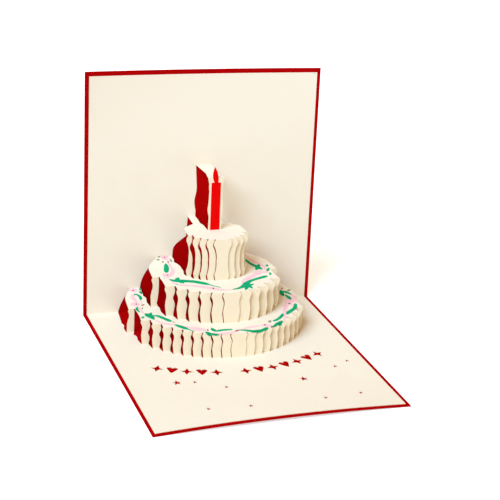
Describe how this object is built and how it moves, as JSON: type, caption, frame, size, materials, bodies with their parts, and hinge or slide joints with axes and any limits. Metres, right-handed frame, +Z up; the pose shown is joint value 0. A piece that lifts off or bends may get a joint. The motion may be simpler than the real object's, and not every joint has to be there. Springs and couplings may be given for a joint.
{
  "type": "pop up card",
  "caption": "Square folded greeting card standing open, with a cut paper tiered cake that lifts from its fold and a flat paper candle on top.",
  "frame": {"origin": "centre of the bounding box, on the surface the card stands on", "axes": "+Z up, -Y toward the open front, so the spine and the back panel are toward +Y; X runs along the spine"},
  "size_m": [0.15, 0.1648, 0.15],
  "materials": {
    "cover_card": "matte dark red card",
    "cream_paper": "matte cream paper with a fine tooth",
    "red_paper": "matte bright red paper"
  },
  "bodies": {
    "root": {"cover": "cover_card", "pop_up_sheet": "cream_paper", "candle": "red_paper"}
  },
  "joints": []
}
